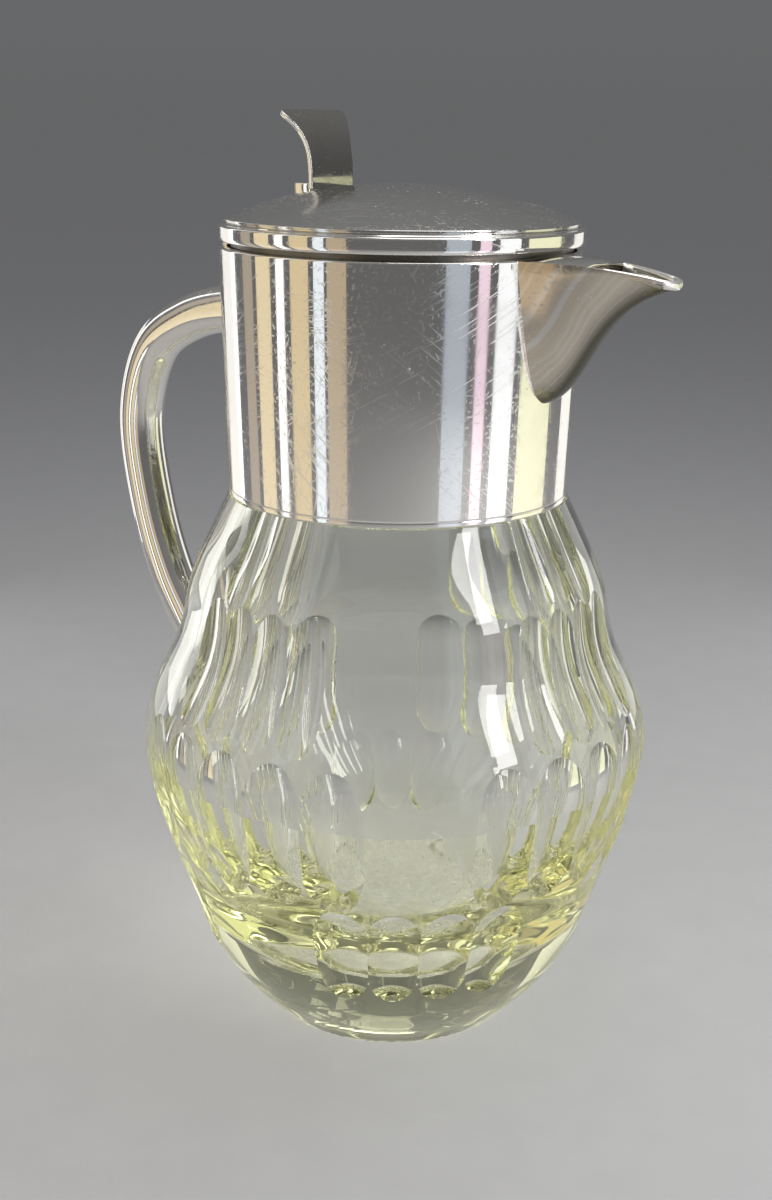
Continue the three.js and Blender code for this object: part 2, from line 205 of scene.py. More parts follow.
def turned(name, profile, segments=192):
    """A body of revolution. The profile is a list of (radius, height) pairs, closed
    on itself unless it starts and ends on the axis."""
    points = []
    rings = []
    for radius, height in profile:
        if radius < 1e-6:
            rings.append([len(points)] * segments)
            points.append((0, 0, height))
            continue
        ring = []
        for i in range(segments):
            angle = 2 * math.pi * i / segments
            ring.append(len(points))
            points.append((radius * math.cos(angle), radius * math.sin(angle), height))
        rings.append(ring)
    if profile[0][0] > 1e-6:
        rings.append(rings[0])
    faces = []
    for low, high in zip(rings, rings[1:]):
        for i in range(segments):
            j = (i + 1) % segments
            face = [low[i], low[j], high[j], high[i]]
            face = [v for k, v in enumerate(face) if v not in face[:k]]
            if len(face) > 2:
                faces.append(face)
    return object_of(name, mesh_of(name, points, faces))


def filleted(profile, closed=True, steps=4):
    """Rounds a profile's corners. Each entry is (radius, height, fillet)."""
    result = []
    count = len(profile)
    for i, (r, z, fillet) in enumerate(profile):
        here = Vector((r, z))
        if fillet == 0 or (not closed and i in (0, count - 1)):
            result.append((r, z))
            continue
        before = Vector(profile[i - 1][:2]) - here
        after = Vector(profile[(i + 1) % count][:2]) - here
        reach = min(fillet, before.length * 0.49, after.length * 0.49)
        start = here + before.normalized() * reach
        end = here + after.normalized() * reach
        for k in range(steps + 1):
            t = k / steps
            p = start * (1 - t) ** 2 + here * 2 * t * (1 - t) + end * t**2
            result.append((p.x, p.y))
    return result


def grid_faces(rows, columns, first=0, wrap=False):
    """Quads over a grid of points stored row by row."""
    faces = []
    for i in range(rows - 1):
        for j in range(columns if wrap else columns - 1):
            k = (j + 1) % columns
            low = first + i * columns
            high = low + columns
            faces.append((low + j, low + k, high + k, high + j))
    return faces


def sheet_faces(rows, columns):
    """Faces over two grids of points, one after the other, and the rim that joins
    them into a closed body."""
    faces = grid_faces(rows, columns)
    faces += [tuple(reversed(f)) for f in grid_faces(rows, columns, rows * columns)]
    rim = list(range(columns))
    rim += [i * columns + columns - 1 for i in range(1, rows)]
    rim += [(rows - 1) * columns + j for j in range(columns - 2, -1, -1)]
    rim += [i * columns for i in range(rows - 2, 0, -1)]
    for a, b in zip(rim, rim[1:] + rim[:1]):
        faces.append((b, a, a + rows * columns, b + rows * columns))
    return faces


def closed_sheet(name, outer, inner, rows, columns):
    return object_of(name, mesh_of(name, outer + inner, sheet_faces(rows, columns)))


def lofted(name, sections):
    """A closed body through closed sections with the same number of points."""
    columns = len(sections[0])
    points = [p for section in sections for p in section]
    faces = grid_faces(len(sections), columns, wrap=True)
    last = (len(sections) - 1) * columns
    faces.append(tuple(range(columns)))
    faces.append(tuple(range(last + columns - 1, last - 1, -1)))
    return object_of(name, mesh_of(name, points, faces))


def catmull_rom(points, steps, power=0.0):
    """Points along a Catmull-Rom curve. Power 0 is uniform, 0.5 centripetal."""
    ends = [points[0] * 2 - points[1], *points, points[-1] * 2 - points[-2]]
    if power == 0.0:
        ends[0] = points[0]
        ends[-1] = points[-1]
    result = []
    spans = len(points) - 1
    for i in range(steps + 1):
        at = min(i * spans / steps, spans - 1e-9)
        span = int(at)
        t = at - span
        a, b, c, d = ends[span : span + 4]
        d0 = max((b - a).length, 1e-9) ** power
        d1 = (c - b).length ** power
        d2 = max((d - c).length, 1e-9) ** power
        m1 = ((b - a) / d0 - (c - a) / (d0 + d1) + (c - b) / d1) * d1
        m2 = ((c - b) / d1 - (d - b) / (d1 + d2) + (d - c) / d2) * d1
        if power == 0.0:
            m1 = (c - a) / 2
            m2 = (d - b) / 2
        t2 = t * t
        t3 = t2 * t
        result.append(
            b * (2 * t3 - 3 * t2 + 1)
            + m1 * (t3 - 2 * t2 + t)
            + c * (3 * t2 - 2 * t3)
            + m2 * (t3 - t2)
        )
    return result


def bezier(a, b, c, d, steps):
    """Points along a cubic Bezier curve."""
    result = []
    for i in range(steps + 1):
        t = i / steps
        s = 1 - t
        result.append(a * s**3 + b * 3 * t * s * s + c * 3 * t * t * s + d * t**3)
    return result


def disc_bar(name, radius, length, centre, fillet=0.3, segments=48):
    """A round bar along Y with rounded ends."""
    half = length / 2
    profile = filleted(
        [(0, -half, 0), (radius, -half, fillet), (radius, half, fillet), (0, half, 0)],
        closed=False,
    )
    bar = turned(name, profile, segments)
    upright_to_y = Matrix.Rotation(math.pi / 2, 4, "X")
    bar.data.transform(Matrix.Translation(Vector(centre) * MM) @ upright_to_y)
    return bar


# ------------------------------------------------------------------ materials
class Nodes:
    """Short forms for building a material's node tree."""

    def __init__(self, name, wrap=None):
        """The marks on a surface are laid out on self.sheet: object coordinates, or
        those of a sheet wrapped once round the Z axis at the given radius."""
        self.material = bpy.data.materials.new(name)
        self.material.use_nodes = True
        self.tree = self.material.node_tree
        self.shader = self.tree.nodes["Principled BSDF"]
        self.output = self.tree.nodes["Material Output"]
        self.place = self.add("ShaderNodeTexCoord").outputs["Object"]
        self.sheet = self.place
        if wrap:
            parts = self.add("ShaderNodeSeparateXYZ")
            self.link(self.place, parts.inputs["Vector"])
            around = self.math("ARCTAN2", parts.outputs["Y"], parts.outputs["X"])
            flat = self.add("ShaderNodeCombineXYZ")
            self.link(self.math("MULTIPLY", around, wrap), flat.inputs["X"])
            self.link(parts.outputs["Z"], flat.inputs["Y"])
            self.sheet = flat.outputs["Vector"]

    def add(self, kind, **settings):
        node = self.tree.nodes.new(kind)
        for key, value in settings.items():
            setattr(node, key, value)
        return node

    def link(self, source, target):
        self.tree.links.new(source, target)

    def drawn_out(self, along, across, turn):
        """Sheet coordinates turned, and then scaled differently along and across."""
        node = self.add("ShaderNodeMapping", vector_type="TEXTURE")
        node.inputs["Scale"].default_value = (1 / along, 1 / across, 1 / across)
        node.inputs["Rotation"].default_value = turn
        self.link(self.sheet, node.inputs["Vector"])
        return node.outputs["Vector"]

    def noise(self, scale, detail=3.0, vector=None, distortion=0.0, roughness=0.5):
        node = self.add("ShaderNodeTexNoise")
        node.inputs["Scale"].default_value = scale
        node.inputs["Detail"].default_value = detail
        node.inputs["Distortion"].default_value = distortion
        node.inputs["Roughness"].default_value = roughness
        self.link(vector or self.place, node.inputs["Vector"])
        return node.outputs["Fac"]

    def math(self, operation, a, b=0.0, clamp=False):
        node = self.add("ShaderNodeMath", operation=operation, use_clamp=clamp)
        for socket, value in zip(node.inputs, (a, b)):
            if isinstance(value, (int, float)):
                socket.default_value = value
            else:
                self.link(value, socket)
        return node.outputs[0]

    def ramp(self, value, low, high, out_low=0.0, out_high=1.0):
        node = self.add("ShaderNodeMapRange", clamp=True)
        node.interpolation_type = "SMOOTHSTEP"
        self.link(value, node.inputs["Value"])
        node.inputs["From Min"].default_value = low
        node.inputs["From Max"].default_value = high
        node.inputs["To Min"].default_value = out_low
        node.inputs["To Max"].default_value = out_high
        return node.outputs["Result"]

    def mix(self, factor, a, b):
        node = self.add("ShaderNodeMix", data_type="RGBA")
        self.link(factor, node.inputs["Factor"])
        for socket, value in ((node.inputs[6], a), (node.inputs[7], b)):
            if isinstance(value, tuple):
                socket.default_value = (*value, 1.0)
            else:
                self.link(value, socket)
        return node.outputs[2]

    def bump(self, height, strength, distance):
        node = self.add("ShaderNodeBump")
        node.inputs["Strength"].default_value = strength
        node.inputs["Distance"].default_value = distance
        self.link(height, node.inputs["Height"])
        return node.outputs["Normal"]

    def streaks(self, turn, along, across, amount, spread):
        """Straight hairline scratches: the highest ridges of a noise that is drawn
        out along one direction, broken up by a coarser noise."""
        drawn = self.noise(1.0, 1.0, self.drawn_out(along, across, turn))
        line = self.ramp(drawn, amount, amount + 0.05)
        patch = self.ramp(self.noise(spread, 2.0), 0.42, 0.60)
        return self.math("MULTIPLY", line, patch)

    def swirls(self, cells, rings, amount, spread):
        """Curved polishing marks: rings of uneven strength around scattered centres."""
        centres = self.add("ShaderNodeTexVoronoi")
        centres.inputs["Scale"].default_value = cells
        self.link(self.sheet, centres.inputs["Vector"])
        ring = self.add("ShaderNodeTexNoise", noise_dimensions="1D")
        ring.inputs["Scale"].default_value = rings
        ring.inputs["Detail"].default_value = 1.0
        self.link(centres.outputs["Distance"], ring.inputs["W"])
        line = self.ramp(ring.outputs["Fac"], amount, amount + 0.05)
        patch = self.ramp(self.noise(spread, 3.0), 0.48, 0.60)
        return self.math("MULTIPLY", line, patch)


def silver(name, colour, low, high, scratch, dust, wave=0.5, wrap=None, keel=None):
    """Polished silver plate with hairline scratches, smears and dust. Keel is the
    colour of a painted dark reflection along the plane y = 0, with pale streaks
    beside it."""
    n = Nodes(name, wrap)
    shader = n.shader.inputs
    shader["Metallic"].default_value = 1.0
    smear = n.ramp(n.noise(30.0, 5.0, distortion=0.8), 0.42, 0.70)
    lines = n.streaks((0.0, 0.0, 0.5), 40.0, 1500.0, 0.62, 30.0)
    for turn, along, across, amount, spread in (
        ((0.0, 0.0, -0.7), 55.0, 1900.0, 0.63, 42.0),
        ((0.2, 0.3, 1.2), 32.0, 1300.0, 0.64, 26.0),
        ((0.4, -0.3, 0.1), 60.0, 1700.0, 0.64, 35.0),
        ((-0.3, 0.5, -1.3), 45.0, 1500.0, 0.63, 38.0),
    ):
        lines = n.math("MAXIMUM", lines, n.streaks(turn, along, across, amount, spread))
    arcs = n.math("MULTIPLY", n.swirls(13.0, 200.0, 0.60, 60.0), 0.7)
    lines = n.math("MAXIMUM", lines, arcs)
    lines = n.math("MULTIPLY", lines, scratch)
    specks = n.add("ShaderNodeTexVoronoi")
    specks.inputs["Scale"].default_value = 520.0
    n.link(n.place, specks.inputs["Vector"])
    dot = n.ramp(specks.outputs["Distance"], 0.10, 0.22, 1.0, 0.0)
    few = n.ramp(n.noise(75.0, 2.0), 0.62 - 0.10 * dust, 0.74 - 0.10 * dust)
    dusty = n.math("MULTIPLY", dot, few)
    dull = tuple(c * 0.88 for c in colour)
    tarnish = (colour[0] * 0.82, colour[1] * 0.74, colour[2] * 0.60)
    base = n.mix(n.ramp(smear, 0.2, 1.0, 0.0, 0.5), colour, dull)
    base = n.mix(n.ramp(n.noise(16.0, 5.0), 0.58, 0.8, 0.0, 0.3), base, tarnish)
    # Along the keel the colour turns dark: a painted dark reflection.
    if keel:
        parts = n.add("ShaderNodeSeparateXYZ")
        n.link(n.place, parts.inputs["Vector"])
        aside = n.math("ABSOLUTE", parts.outputs["Y"])
        bent = n.math("ADD", aside, n.math("MULTIPLY", n.noise(45.0, 2.0), 0.0025))
        stripe = n.add("ShaderNodeTexNoise", noise_dimensions="1D")
        stripe.inputs["Scale"].default_value = 1300.0
        n.link(bent, stripe.inputs["W"])
        pale = n.ramp(stripe.outputs["Fac"], 0.42, 0.75, 0.0, 0.5)
        base = n.mix(pale, base, (0.93, 0.94, 0.96))
        base = n.mix(n.ramp(aside, 0.0022, 0.0068, 1.0, 0.0), base, keel)
    base = n.mix(dusty, base, (0.78, 0.77, 0.74))
    n.link(base, shader["Base Color"])
    roughness = n.ramp(smear, 0.0, 1.0, low, high)
    roughness = n.math("ADD", roughness, n.math("MULTIPLY", lines, 0.30))
    roughness = n.math("ADD", roughness, n.math("MULTIPLY", dusty, 0.5), clamp=True)
    n.link(roughness, shader["Roughness"])
    waves = n.math("MULTIPLY", n.noise(24.0, 1.0), wave)
    height = n.math("SUBTRACT", waves, n.math("MULTIPLY", lines, 0.012))
    n.link(n.bump(height, 0.3, 0.0006), shader["Normal"])
    return n.material


def clear_glass():
    """Lead-glass clear body with a pale yellow-green tint that thick parts gather."""
    n = Nodes("clear_glass")
    shader = n.shader.inputs
    shader["Base Color"].default_value = (0.985, 0.99, 0.97, 1.0)
    shader["Transmission Weight"].default_value = 1.0
    shader["IOR"].default_value = 1.53
    lines = n.streaks((0.4, 0.8, 0.1), 25.0, 1300.0, 0.68, 50.0)
    film = n.ramp(n.noise(22.0, 4.0), 0.55, 0.8, 0.0, 0.015)
    parts = n.add("ShaderNodeSeparateXYZ")
    n.link(n.place, parts.inputs["Vector"])
    foot = n.ramp(parts.outputs["Z"], 0.0003, 0.0012, 1.0, 0.0)
    wear = n.math("MULTIPLY", foot, n.ramp(n.noise(500.0, 4.0), 0.35, 0.65, 0.1, 0.5))
    roughness = n.math("ADD", film, n.math("MULTIPLY", lines, 0.10))
    roughness = n.math("ADD", roughness, wear)
    # The flat floor inside is rubbed too.
    across = n.math("POWER", parts.outputs["X"], 2.0)
    across = n.math("ADD", across, n.math("POWER", parts.outputs["Y"], 2.0))
    rim = FLOOR_FLAT_RADIUS * MM
    level = FLOOR_THICKNESS * MM
    z = parts.outputs["Z"]
    disc = n.ramp(n.math("SQRT", across), rim - 0.0005, rim + 0.0003, 1.0, 0.0)
    disc = n.math("MULTIPLY", disc, n.ramp(z, level - 0.006, level - 0.004))
    disc = n.math("MULTIPLY", disc, n.ramp(z, level + 0.002, level + 0.004, 1.0, 0.0))
    rubbed = n.ramp(n.noise(260.0, 5.0), 0.35, 0.70, 0.14, 0.40)
    roughness = n.math("ADD", roughness, n.math("MULTIPLY", disc, rubbed))
    n.link(roughness, shader["Roughness"])
    height = n.math("ADD", n.noise(30.0, 1.0), n.math("MULTIPLY", lines, -0.01))
    n.link(n.bump(height, 0.08, 0.0004), shader["Normal"])
    absorb = n.add("ShaderNodeVolumeAbsorption")
    absorb.inputs["Color"].default_value = (0.95, 0.955, 0.38, 1.0)
    absorb.inputs["Density"].default_value = 6.5
    n.link(absorb.outputs["Volume"], n.output.inputs["Volume"])
    return n.material


def plaster():
    n = Nodes("setting_plaster")
    grain = n.noise(900.0, 4.0)
    n.link(n.mix(grain, (0.55, 0.52, 0.46), (0.74, 0.71, 0.64)), n.shader.inputs["Base Color"])
    n.shader.inputs["Roughness"].default_value = 0.9
    n.link(n.bump(grain, 0.5, 0.0002), n.shader.inputs["Normal"])
    return n.material


SILVER = (0.93, 0.905, 0.86)
collar_silver = silver("collar_silver", SILVER, 0.035, 0.10, 0.65, 0.0, wrap=0.047)
spout_silver = silver(
    "spout_silver", (0.74, 0.66, 0.54), 0.05, 0.13, 0.5, 0.1, wave=1.2, keel=(0.12, 0.115, 0.09)
)
# A pale, rough silver for the lip's rim and the open trough: a painted highlight.
lip_highlight_silver = silver("lip_highlight_silver", (0.97, 0.95, 0.88), 0.34, 0.48, 0.3, 0.1)
# The dome's silver is darker than the collar's: partly dullness and dust, partly painted shade
# for the dark it reflects.
lid_silver = silver("lid_silver", (0.72, 0.705, 0.67), 0.09, 0.20, 0.7, 1.0)
# A much darker copy of the silver for the thumb-piece: painted shade for the dark it reflects.
shaded_thumb_silver = silver("shaded_thumb_silver", (0.46, 0.445, 0.41), 0.05, 0.12, 0.5, 0.3)
bright_silver = silver("bright_silver", SILVER, 0.03, 0.09, 0.5, 0.1)
# A very dark silver: painted shade for insides, undersides and hidden gaps.
painted_shade_silver = silver("painted_shade_silver", (0.20, 0.185, 0.16), 0.30, 0.50, 0.5, 0.6)
glass = clear_glass()


def finish_piece(piece, body, material, slot, *nodes):
    """Puts the piece on its body, gives it its material and hides the CAD nodes it stands for."""
    piece.data.materials.clear()
    piece.data.materials.append(material)
    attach(piece, body)
    if nodes:
        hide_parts(*nodes)


# ------------------------------------------------------------------ glass body
BOWL_LEAN = 7.2
FLARE_REACH = 18.0
FLARE_RISE = 7.0
outline = catmull_rom(
    [
        Vector((BASE_RADIUS, 1.0)),
        Vector(((BASE_RADIUS + BOWL_RADIUS) / 2 + 1.8, BOWL_HEIGHT * 0.46)),
        Vector((BOWL_RADIUS, BOWL_HEIGHT)),
        Vector((BELLY_RADIUS, BELLY_HEIGHT)),
        Vector((WAIST_RADIUS, WAIST_HEIGHT)),
        Vector((SHOULDER_RADIUS, SHOULDER_HEIGHT)),
        Vector((COLLAR_BOTTOM_RADIUS, COLLAR_BOTTOM - GAP)),
    ],
    280,
)


def glass_radius_at(height):
    """Radius of the uncut body at a height."""
    if height <= outline[0].y:
        return outline[0].x
    for low, high in zip(outline, outline[1:]):
        if high.y >= height:
            share = (height - low.y) / (high.y - low.y)
            return low.x + share * (high.x - low.x)
    return outline[-1].x


def cutter_patch(azimuth, half_angle, bottom, top, depth, squareness):
    """One ground hollow, as a closed shell whose inner face dips into the body by
    depth in the middle and leaves it along an oval outline. The shell reaches past
    that outline, lifts off the body there, and closes well outside it."""
    across = 22
    along = 40
    reach = 1.22
    lift = 3.0
    outside = 6.0
    middle = (bottom + top) / 2
    half_height = (top - bottom) / 2
    inner = []
    outer = []
    for i in range(along + 1):
        v = reach * (2 * i / along - 1)
        height = middle + half_height * v
        radius = glass_radius_at(height)
        for j in range(across + 1):
            u = reach * (2 * j / across - 1)
            dip = depth * (1 - abs(u) ** 2.0 - abs(v) ** squareness)
            dip = max(dip, -lift)
            angle = azimuth + half_angle * u
            direction = (math.cos(angle), math.sin(angle))
            inner.append((*((radius - dip) * c for c in direction), height))
            outer.append((*((radius + outside) * c for c in direction), height))
    rows = along + 1
    columns = across + 1
    faces = sheet_faces(rows, columns)
    return inner + outer, faces


# Each row of the decoration is four groups a quarter turn apart. Rows 1 to 3 are
# centred on the spout and the handle, and row 4 on the plain windows between.
# name, cuts in a group, pitch, half width, bottom, top, depth, squareness, phase
DECORATION = [
    ("shoulder_flute", 3, 9.6, 5.1, 123.5, 158.0, 1.5, 4.0, 0.0),
    ("waist_flute", 4, 10.4, 5.5, 92.5, 125.5, 1.7, 3.4, 0.0),
    ("belly_oval", 5, 13.2, 7.2, 52.0, 91.5, 3.2, 3.2, -1.4),
    ("thumbprint", 4, 13.0, 7.0, 22.5, 52.5, 2.6, 3.2, 45.0),
]


def glass_body():
    bore = NECK_RADIUS - NECK_WALL
    outer = [(p.x, p.y) for p in outline]
    # The hollow runs smoothly from the bore of the neck into the belly, and from
    # there into the floor.
    low = BELLY_HEIGHT - 4.0
    high = COLLAR_BOTTOM - 20.0
    belly = [(p.x - GLASS_WALL, p.y) for p in outline if low < p.y < high]
    top = Vector(belly[-1])
    shoulder = bezier(
        Vector((bore, COLLAR_BOTTOM + 7.0)),
        Vector((bore, COLLAR_BOTTOM - 4.0)),
        top + (top - Vector(belly[-2])).normalized() * 9.0,
        top,
        24,
    )
    bottom = Vector(belly[0])
    floor_corner = bezier(
        bottom,
        Vector((bottom.x - BOWL_LEAN, (FLOOR_THICKNESS + bottom.y) / 2)),
        Vector((FLOOR_FLAT_RADIUS + FLARE_REACH, FLOOR_THICKNESS + FLARE_RISE)),
        Vector((FLOOR_FLAT_RADIUS, FLOOR_THICKNESS)),
        40,
    )
    neck = filleted(
        [
            (NECK_RADIUS, COLLAR_BOTTOM - GAP, 0.3),
            (NECK_RADIUS, NECK_TOP, 1.2),
            (bore, NECK_TOP, 1.2),
            (bore, COLLAR_BOTTOM + 9.0, 0.0),
        ],
        closed=False,
    )
    # The underside is hollowed a little, so that the body stands on a ring.
    foot = BASE_RADIUS - 5.0
    profile = [(0, 1.1), (foot * 0.6, 1.0), (foot, 0.35), (foot + 1.2, 0.05)]
    profile += [(BASE_RADIUS - 1.6, 0), (BASE_RADIUS - 0.6, 0.3), *outer]
    profile += neck
    profile += [tuple(p) for p in shoulder[:-1]]
    profile += belly[::-1]
    profile += [tuple(p) for p in floor_corner[1:]]
    # A shallow step marks the edge of the flat floor.
    sunk = FLOOR_THICKNESS - FLOOR_STEP
    profile += [(FLOOR_FLAT_RADIUS - FLOOR_STEP, sunk), (0, sunk)]
    body = turned("cut_glass_body", profile, 240)
    for label, count, pitch, half, bottom, top, depth, square, phase in DECORATION:
        for parity in (0, 1):
            points = []
            faces = []
            for quarter in range(4):
                for k in range(parity, count, 2):
                    turn = phase + 90 * quarter + pitch * (k - (count - 1) / 2)
                    made = cutter_patch(
                        math.radians(turn), math.radians(half), bottom, top, depth, square
                    )
                    faces += [tuple(v + len(points) for v in f) for f in made[1]]
                    points += made[0]
            tool = object_of(label, mesh_of(label, points, faces))
            cut(body, tool)
    shade(body, 9)
    finish_piece(body, "jug", glass, "clear_glass", "glass_body")
    # Light that passes through clear glass brightens what is under it.
    body.visible_shadow = False


# ------------------------------------------------------------------ collar
SPOUT_LIP_START = SPOUT_REACH - SPOUT_LIP_LENGTH
LIP_DROOP = 0.3
# The rounded rim of the lip: its radius, and how far back it runs along the sides.
LIP_RIM = 1.1
RIM_RUN = 12.0


def spout_top_at(x):
    """Height of the spout's top edges, which droop over the lip."""
    share = max(0.0, x - COLLAR_TOP_RADIUS) / (SPOUT_REACH - COLLAR_TOP_RADIUS)
    droop = max(0.0, x - SPOUT_LIP_START + 2.0) / (SPOUT_LIP_LENGTH + 2.0)
    return COLLAR_TOP - 0.2 - (SPOUT_DROP - 0.2) * share**2 - LIP_DROOP * droop**2


def spout_half_width_at(x):
    share = (min(x, SPOUT_LIP_START) - COLLAR_TOP_RADIUS) / (SPOUT_LIP_START - COLLAR_TOP_RADIUS)
    return SPOUT_ROOT_HALF_WIDTH + share * (SPOUT_LIP_HALF_WIDTH - SPOUT_ROOT_HALF_WIDTH)


KEEL = [
    Vector((COLLAR_TOP_RADIUS - 3.3, COLLAR_TOP - SPOUT_DEPTH)),
    Vector((COLLAR_TOP_RADIUS + 10.7, COLLAR_TOP - SPOUT_DEPTH + 1.6)),
    Vector((COLLAR_TOP_RADIUS + 8.7, COLLAR_TOP - 11.4)),
    Vector((SPOUT_REACH - 0.6, COLLAR_TOP - SPOUT_DROP - LIP_DROOP - 1.2)),
]
SPOUT_ROWS = 96
SPOUT_COLUMNS = 49


def spout_sheet(inset):
    """A grid of points on the spout's outer surface, or on its inner one when inset
    is the wall's thickness. Each row is a parabola from the keel up to both edges.
    Over the lip the rows close in on a half circle."""
    rows_to_lip = SPOUT_ROWS - 26
    line = bezier(*KEEL, 400)
    moved = []
    for before, here, after in zip(line, line[1:], line[2:]):
        along = (after - before).normalized()
        moved.append(here + Vector((-along.y, along.x)) * inset)
    start = moved[0].x
    last = spout_hi.x - 0.15 - inset
    lip = last - SPOUT_LIP_START
    points = []
    for i in range(SPOUT_ROWS):
        closing = 1.0
        if i < rows_to_lip:
            x = start + (SPOUT_LIP_START - start) * i / (rows_to_lip - 1)
        else:
            turn = math.radians(84) * (i - rows_to_lip + 1) / (SPOUT_ROWS - rows_to_lip)
            x = SPOUT_LIP_START + lip * math.sin(turn)
            closing = math.cos(turn)
        keel = next((p.y for p in moved if p.x >= x), moved[-1].y)
        for a, b in zip(moved, moved[1:]):
            if a.x <= x < b.x:
                keel = a.y + (b.y - a.y) * (x - a.x) / (b.x - a.x)
        top = spout_top_at(x)
        keel = min(keel, top - 0.3)
        half = (spout_half_width_at(x) - inset) * closing
        for j in range(SPOUT_COLUMNS):
            u = 2 * j / (SPOUT_COLUMNS - 1) - 1
            rise = abs(u) ** 2.5
            points.append(Vector((x, half * u, keel + (top - keel) * rise)))
    return points


def spout_channel(name):
    """The space inside the trough near its root, as a closed cutting tool."""
    sections = []
    for x in (COLLAR_TOP_RADIUS - 9.0, COLLAR_TOP_RADIUS + 3.0):
        half = spout_half_width_at(COLLAR_TOP_RADIUS) - SPOUT_WALL
        keel = COLLAR_TOP - SPOUT_DEPTH + SPOUT_WALL + 0.8
        top = COLLAR_TOP - 2.2
        section = []
        for j in range(49):
            u = 2 * j / 48 - 1
            section.append(Vector((x, half * u, keel + (top - keel) * u * u)))
        sections.append(section)
    return lofted(name, sections)


def wall_tool(name, offset):
    """The solid inside the collar's outer surface, grown by an offset."""
    low = COLLAR_BOTTOM - 10
    high = COLLAR_TOP + 20
    profile = [
        (0, low),
        (collar_radius_at(low) + offset, low),
        (collar_radius_at(high) + offset, high),
        (0, high),
    ]
    return turned(name, profile, 256)


def collar():
    """One sleeve: a turned wall with a rolled top edge and a small bead at its foot."""
    bottom = COLLAR_BOTTOM
    top = COLLAR_TOP
    foot = COLLAR_BOTTOM_RADIUS
    seat = COLLAR_TOP_RADIUS - 2.2
    profile = [
        (foot - COLLAR_WALL, bottom, 0.2),
        (foot, bottom, 0.35),
        (collar_radius_at(bottom + 1.1), bottom + 1.1, 0.1),
        (collar_radius_at(bottom + 1.35) - 0.12, bottom + 1.35, 0.1),
        (collar_radius_at(bottom + 1.7), bottom + 1.7, 0.3),
        (COLLAR_TOP_RADIUS, top, 0.7),
        (seat, top, 0.3),
        (seat, top - 1.3, 0.3),
        (COLLAR_TOP_RADIUS - COLLAR_WALL, top - 2.0, 0.3),
    ]
    sleeve = turned("collar_sleeve", filleted(profile, steps=6), 256)
    cut(sleeve, spout_channel("channel_tool"))
    shade(sleeve, 30)
    finish_piece(sleeve, "jug", collar_silver, "silver_plate", "collar_band", "collar_top_rim")
    # Faces that look inwards, below the rim, are painted dark: painted shade inside the collar.
    sleeve.data.materials.append(painted_shade_silver)
    for face in sleeve.data.polygons:
        centre = face.center / MM
        outward = centre.x * face.normal.x + centre.y * face.normal.y
        if outward < 0 and centre.z < COLLAR_TOP - 0.4:
            face.material_index = 1


def tube(name, line, radii):
    """A round bar along a line, with a radius at each point."""
    sections = []
    for i, (centre, radius) in enumerate(zip(line, radii)):
        along = line[min(i + 1, len(line) - 1)] - line[max(i - 1, 0)]
        side = along.cross(Vector((0, 0, 1))).normalized()
        up = side.cross(along).normalized()
        ring = []
        for k in range(20):
            angle = 2 * math.pi * k / 20
            ring.append(centre + (side * math.cos(angle) + up * math.sin(angle)) * radius)
        sections.append(ring)
    return lofted(name, sections)


def lip_rim():
    """A rounded rim round the end of the trough, thickest at the tip."""
    half = SPOUT_LIP_HALF_WIDTH - LIP_RIM
    reach = spout_hi.x - 0.15 - LIP_RIM
    steps = 24
    end_share = 0.55
    sunk_share = 0.7
    line = []
    for i in range(steps):
        x = SPOUT_LIP_START - RIM_RUN * (1 - i / steps)
        line.append(Vector((x, spout_half_width_at(x) - LIP_RIM, 0)))
    for i in range(steps + 1):
        turn = math.pi / 2 * i / steps
        x = SPOUT_LIP_START + (reach - SPOUT_LIP_START) * math.sin(turn)
        line.append(Vector((x, half * math.cos(turn), 0)))
    line += [Vector((p.x, -p.y, 0)) for p in line[-2::-1]]
    middle = len(line) // 2
    radii = []
    for i, point in enumerate(line):
        swell = min(1.0, (middle - abs(i - middle)) / steps)
        radii.append(LIP_RIM * (end_share + (1 - end_share) * swell))
        point.z = spout_top_at(point.x) - radii[-1] * sunk_share
    return tube("lip_rim", line, radii)


def spout():
    outer = spout_sheet(0.0)
    inner = spout_sheet(SPOUT_WALL)
    shell = closed_sheet("spout_trough", outer, inner, SPOUT_ROWS, SPOUT_COLUMNS)
    join_to(shell, lip_rim())
    cut(shell, wall_tool("wall_tool", -0.15))
    shade(shell, 40)
    bevel(shell, 0.22, 2, 50)
    shade(shell, 40)
    finish_piece(shell, "jug", spout_silver, "silver_plate", "spout_shell")
    # The inside near the root is painted dark: painted shade deep in the channel.
    shell.data.materials.append(painted_shade_silver)
    shell.data.materials.append(lip_highlight_silver)
    for face in shell.data.polygons:
        centre = face.center / MM
        inward = face.normal.z > 0.05 or centre.y * face.normal.y < 0
        if inward and centre.x < BRIDGE_REACH and centre.z < COLLAR_TOP - 2.5:
            face.material_index = 1
        # The rim's top and the open trough past the bridge get the pale silver: a painted
        # highlight.
        at_rim = centre.x > SPOUT_LIP_START - RIM_RUN and centre.z > spout_top_at(centre.x) - 1.8
        on_top = face.normal.z > -0.1 or centre.x > spout_hi.x - 2.2
        if (at_rim and on_top) or (inward and centre.x > BRIDGE_REACH):
            face.material_index = 2


